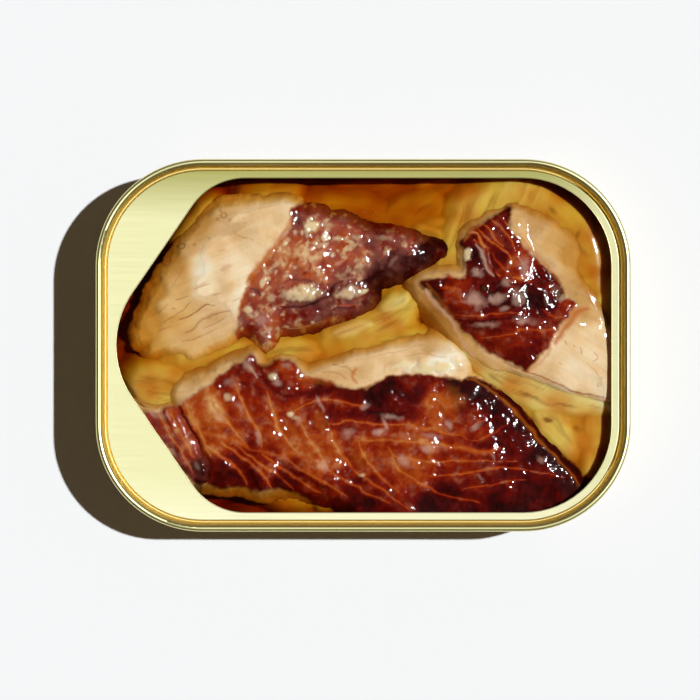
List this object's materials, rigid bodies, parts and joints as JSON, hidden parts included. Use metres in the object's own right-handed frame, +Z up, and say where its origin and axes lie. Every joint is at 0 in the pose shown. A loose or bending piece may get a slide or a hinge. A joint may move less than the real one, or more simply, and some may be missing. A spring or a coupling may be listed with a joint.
{
  "type": "tin of smoked salmon",
  "caption": "Opened shallow rounded-oblong fish tin, gold-lacquered inside, with smoked salmon pieces lying in oil under a torn-open lid.",
  "frame": {"origin": "middle of the base, on the surface the tin stands on", "axes": "+X along the tin's length, towards the end where the opening is widest; +Y across its width; +Z up, out of the opening"},
  "size_m": [0.108, 0.0752, 0.024],
  "materials": {
    "body_lacquer": "drawn sheet metal with a thin gold lacquer, satin",
    "lid_lacquer": "rolled sheet metal with a pale gold lacquer, satin gloss, bare metal along the torn edge",
    "smoked_fish": "flaky cream flesh with brown smoked crust, wet with oil",
    "oil": "clear amber oil, glossy"
  },
  "bodies": {
    "root": {"can_body": "body_lacquer", "lid_ring": "lid_lacquer", "fillet_upper": "smoked_fish", "fillet_right": "smoked_fish", "fillet_lower": "smoked_fish", "loose_flake": "smoked_fish", "oil": "oil"}
  },
  "joints": []
}
